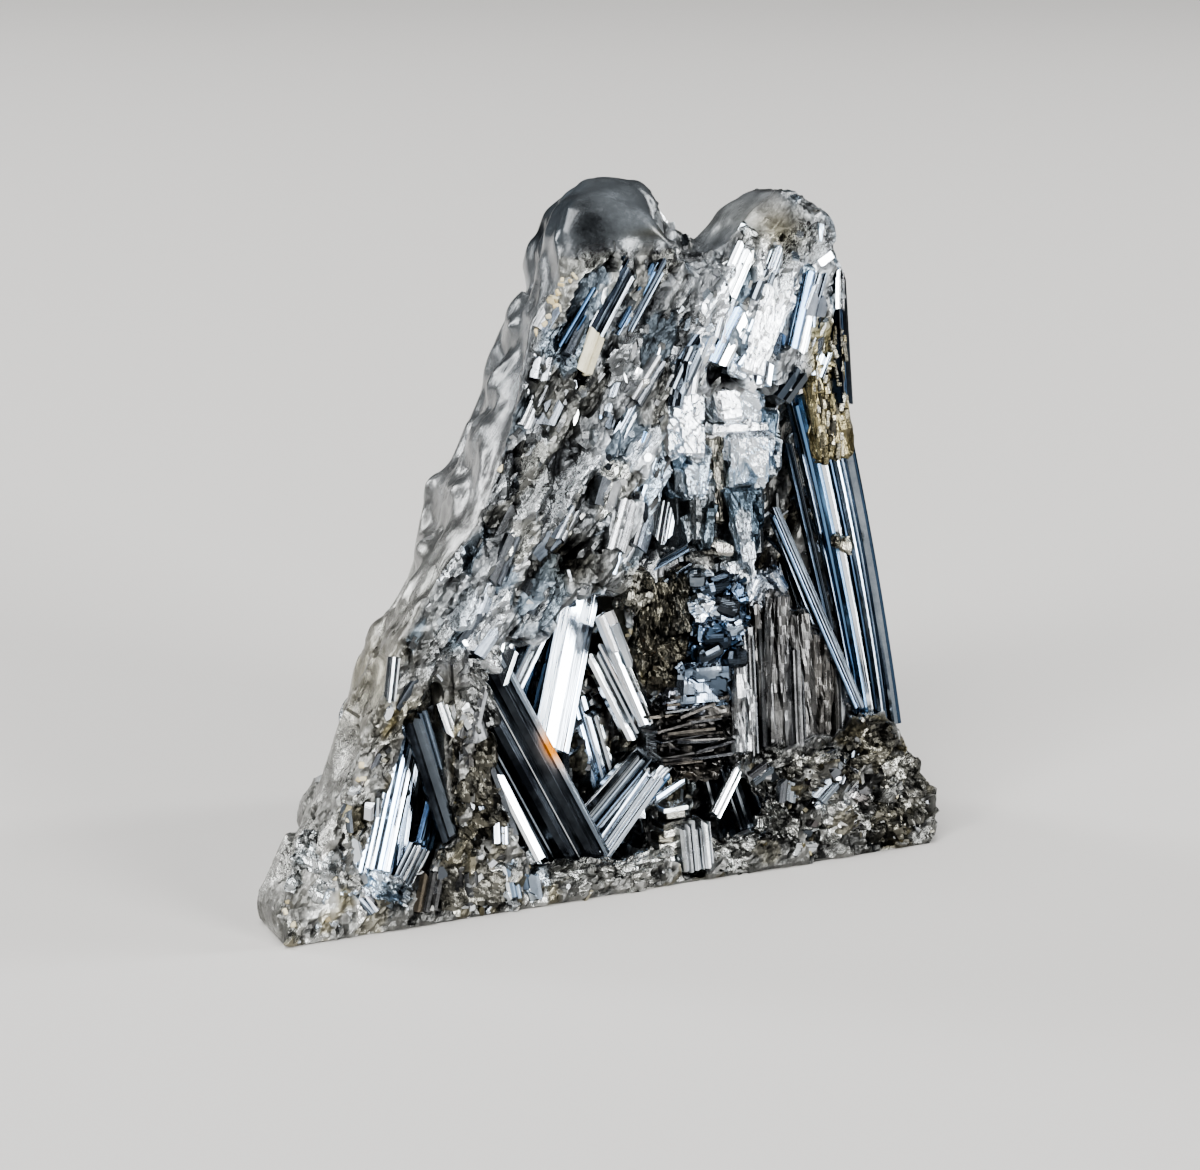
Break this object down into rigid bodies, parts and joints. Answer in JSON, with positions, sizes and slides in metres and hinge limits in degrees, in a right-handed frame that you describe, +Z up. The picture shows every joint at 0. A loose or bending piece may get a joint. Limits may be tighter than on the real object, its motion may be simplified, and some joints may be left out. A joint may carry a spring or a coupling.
{
  "type": "stibnite crystal spray",
  "caption": "Free-standing specimen of stibnite: a massive two-peaked body with a hollow where striated metallic blades, prisms and needles cross.",
  "frame": {"origin": "middle of the bounding box's foot, on the plane of the flat base", "axes": "+Z up, -Y towards the front face with the hollow, +X to the right seen from the front"},
  "size_m": [0.0682, 0.033, 0.0656],
  "materials": {
    "massive_stibnite": "granular, glittering grey metal-like mineral",
    "bright_stibnite": "mirror-bright cleavage faces, finely striated",
    "blue_stibnite": "steel-blue striated prism faces",
    "dark_stibnite": "dark lead-grey striated faces",
    "pale_stibnite": "pale blue-grey striated faces",
    "lilac_stibnite": "lilac-blue tarnished faces",
    "grey_stibnite": "dull grey fibrous faces",
    "antimony_ochre": "matt cream crust of weathered stibnite"
  },
  "bodies": {
    "root": {"massive_body": "massive_stibnite", "stepped_column": "bright_stibnite", "column_bundle": "grey_stibnite", "needle_bundle": "blue_stibnite", "foot_bundle": "bright_stibnite", "dark_beam": "dark_stibnite", "bright_blade": "bright_stibnite", "side_blade": "blue_stibnite", "twin_blade_long": "bright_stibnite", "twin_blade_short": "bright_stibnite", "pale_blade": "pale_stibnite", "pale_blade_inner": "blue_stibnite", "crossing_blade": "dark_stibnite", "blue_prism": "blue_stibnite", "grey_prism": "grey_stibnite", "white_sliver": "bright_stibnite", "upper_blade": "bright_stibnite", "edge_blade": "bright_stibnite", "lilac_blade": "lilac_stibnite", "ray_blade_upper": "bright_stibnite", "ray_blade_lower": "pale_stibnite", "white_prism": "bright_stibnite", "fan_blade_left": "dark_stibnite", "fan_blade_middle": "dark_stibnite", "fan_blade_right": "dark_stibnite", "crossing_needle": "dark_stibnite", "cavity_blade": "pale_stibnite", "cream_flake": "antimony_ochre"}
  },
  "joints": []
}
